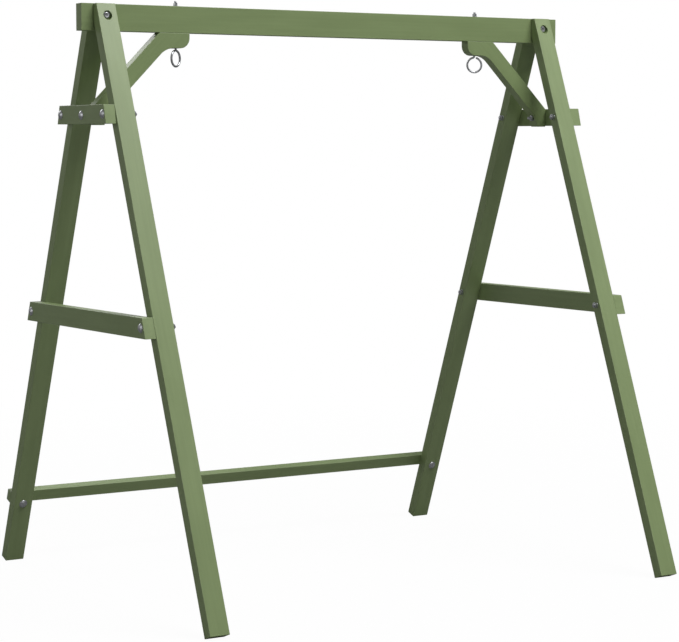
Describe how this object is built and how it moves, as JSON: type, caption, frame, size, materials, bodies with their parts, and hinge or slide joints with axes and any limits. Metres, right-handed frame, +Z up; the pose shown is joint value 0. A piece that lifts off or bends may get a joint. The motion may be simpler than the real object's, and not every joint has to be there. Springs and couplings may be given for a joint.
{
  "type": "swing stand",
  "caption": "A-frame stand for a hanging bench swing: painted boards, bolted side and knee braces, a low back rail, and turning eye bolts that the seat's chains hook into.",
  "frame": {"origin": "on the ground, under the middle of the beam", "axes": "+Z is up, +X runs along the beam to the right seen from the front, and -Y is the front; the low rail is at the back, +Y"},
  "size_m": [1.878, 1.5242, 1.917],
  "materials": {
    "painted_wood": "satin sage-green paint over planed softwood",
    "zinc_hardware": "bright zinc plating"
  },
  "bodies": {
    "stand": {"top_beam": "painted_wood", "front_left_leg": "painted_wood", "front_right_leg": "painted_wood", "back_left_leg": "painted_wood", "back_right_leg": "painted_wood", "left_upper_brace": "painted_wood", "right_upper_brace": "painted_wood", "left_mid_brace": "painted_wood", "right_mid_brace": "painted_wood", "left_knee_brace": "painted_wood", "right_knee_brace": "painted_wood", "back_rail": "painted_wood", "eye_washers": "zinc_hardware", "leg_tip_bolts": "zinc_hardware", "leg_tip_nuts": "zinc_hardware", "leg_tip_washers": "zinc_hardware", "upper_brace_bolts": "zinc_hardware", "upper_brace_nuts": "zinc_hardware", "upper_brace_washers": "zinc_hardware", "mid_brace_bolts": "zinc_hardware", "mid_brace_nuts": "zinc_hardware", "mid_brace_washers": "zinc_hardware", "knee_bolts": "zinc_hardware", "knee_nuts": "zinc_hardware", "knee_washers": "zinc_hardware", "rail_bolts": "zinc_hardware", "rail_nuts": "zinc_hardware", "rail_washers": "zinc_hardware"},
    "left_eye": {"left_eye_bolt": "zinc_hardware", "left_eye_nut": "zinc_hardware"},
    "right_eye": {"right_eye_bolt": "zinc_hardware", "right_eye_nut": "zinc_hardware"}
  },
  "joints": [
    {"name": "left_eye_turn", "type": "hinge", "parent": "stand", "child": "left_eye", "pos_m": [-0.593, 0, 1.765], "axis": [0, 0, 1], "continuous": true},
    {"name": "right_eye_turn", "type": "hinge", "parent": "stand", "child": "right_eye", "pos_m": [0.593, 0, 1.765], "axis": [0, 0, 1], "continuous": true}
  ]
}
